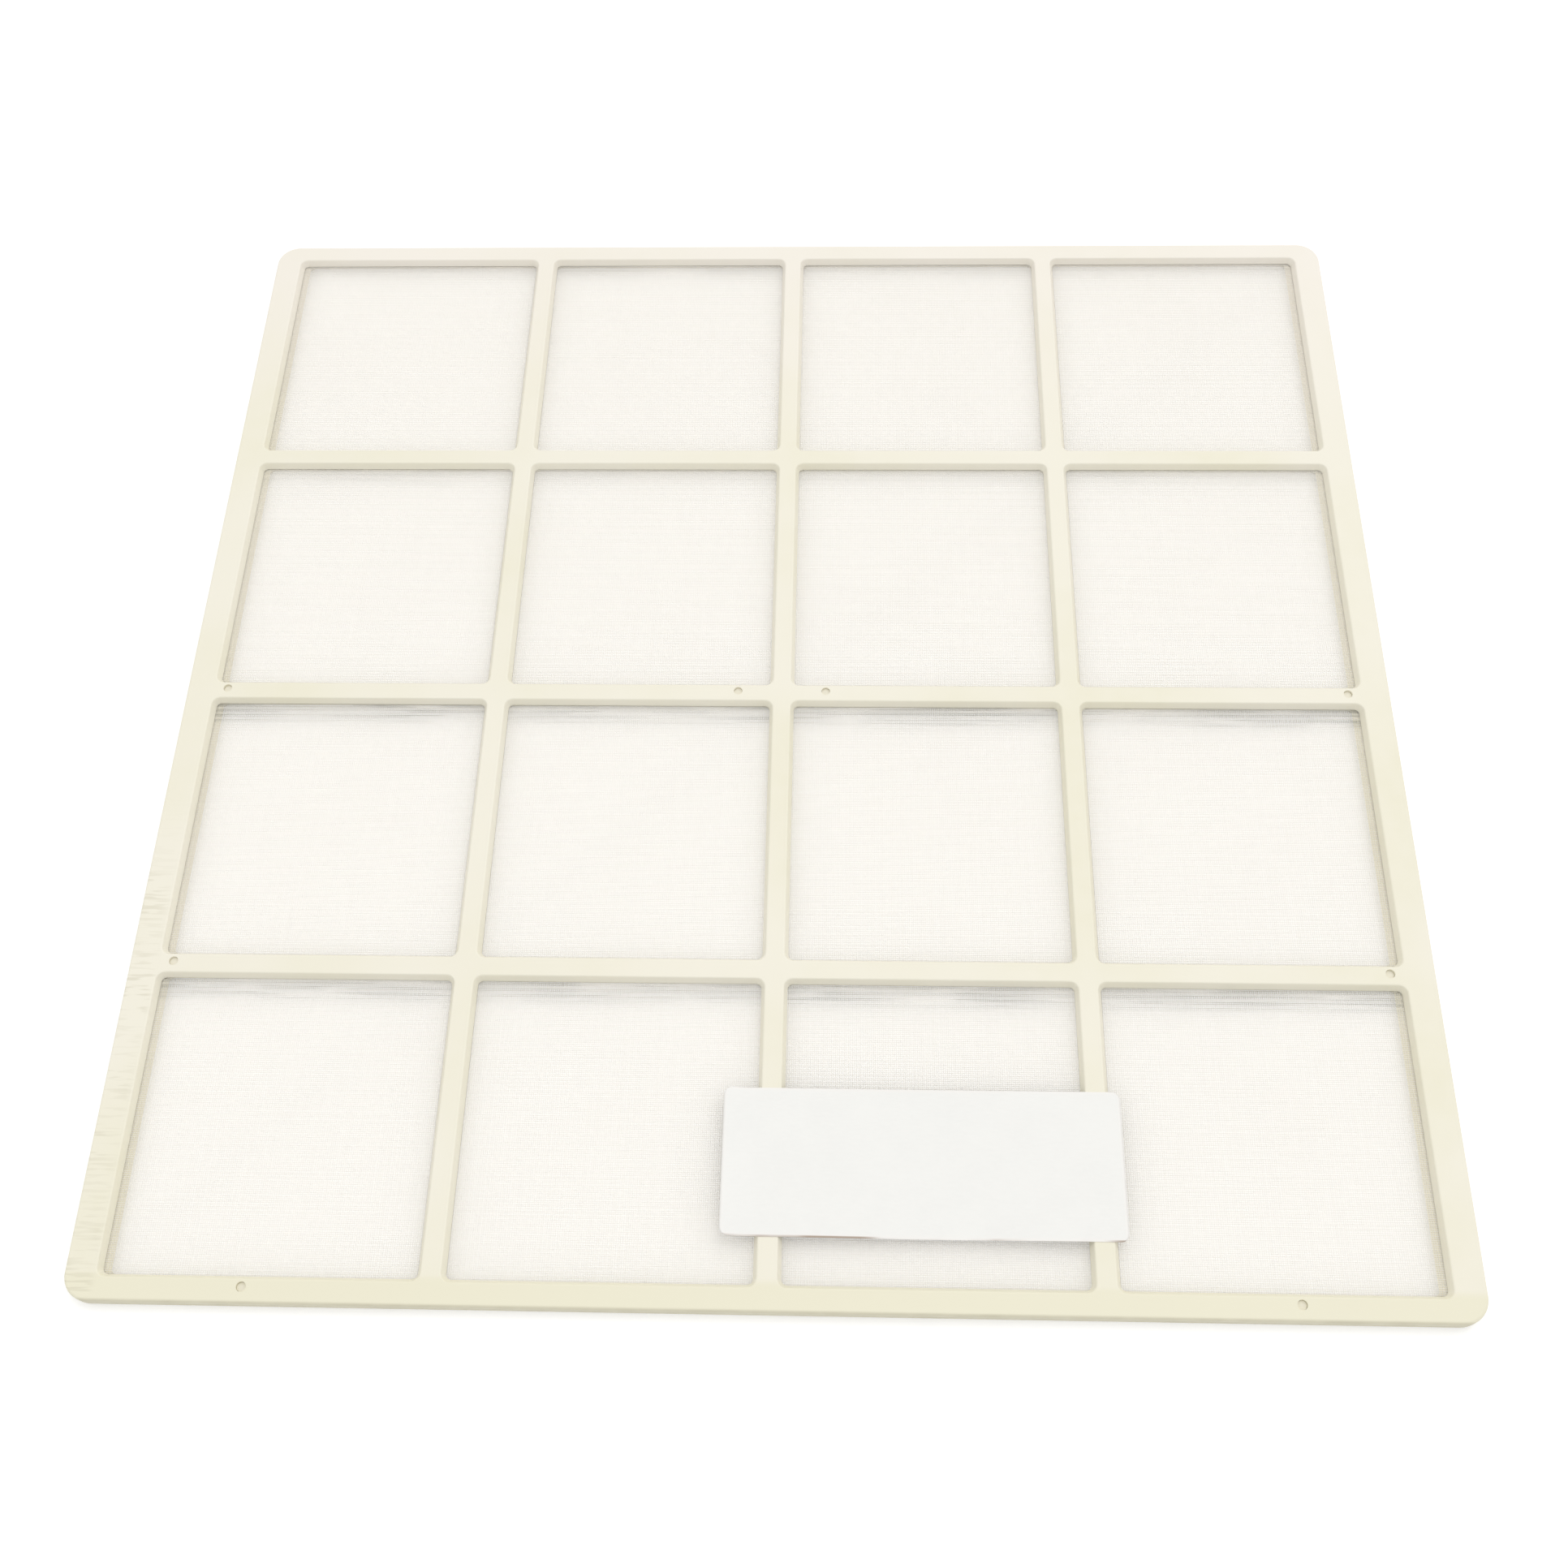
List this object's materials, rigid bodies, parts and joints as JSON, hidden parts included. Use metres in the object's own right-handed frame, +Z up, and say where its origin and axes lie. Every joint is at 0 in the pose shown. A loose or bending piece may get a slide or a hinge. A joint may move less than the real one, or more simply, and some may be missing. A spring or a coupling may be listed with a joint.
{
  "type": "mesh filter panel",
  "caption": "Flat square air filter panel: a cream moulded lattice frame in two halves that trap a fine net, with a blank paper label.",
  "frame": {"origin": "middle of the underside, on the plane that the panel lies on", "axes": "+Z up through the panel, +X to the right along the front edge, +Y away from the front edge"},
  "size_m": [0.35, 0.35, 0.006],
  "materials": {
    "frame_plastic": "satin cream moulded polypropylene",
    "net_plastic": "fine pale monofilament net",
    "label_paper": "blank matt white label paper"
  },
  "bodies": {
    "root": {"lower_frame": "frame_plastic", "upper_frame": "frame_plastic", "filter_net": "net_plastic", "paper_label": "label_paper"}
  },
  "joints": []
}
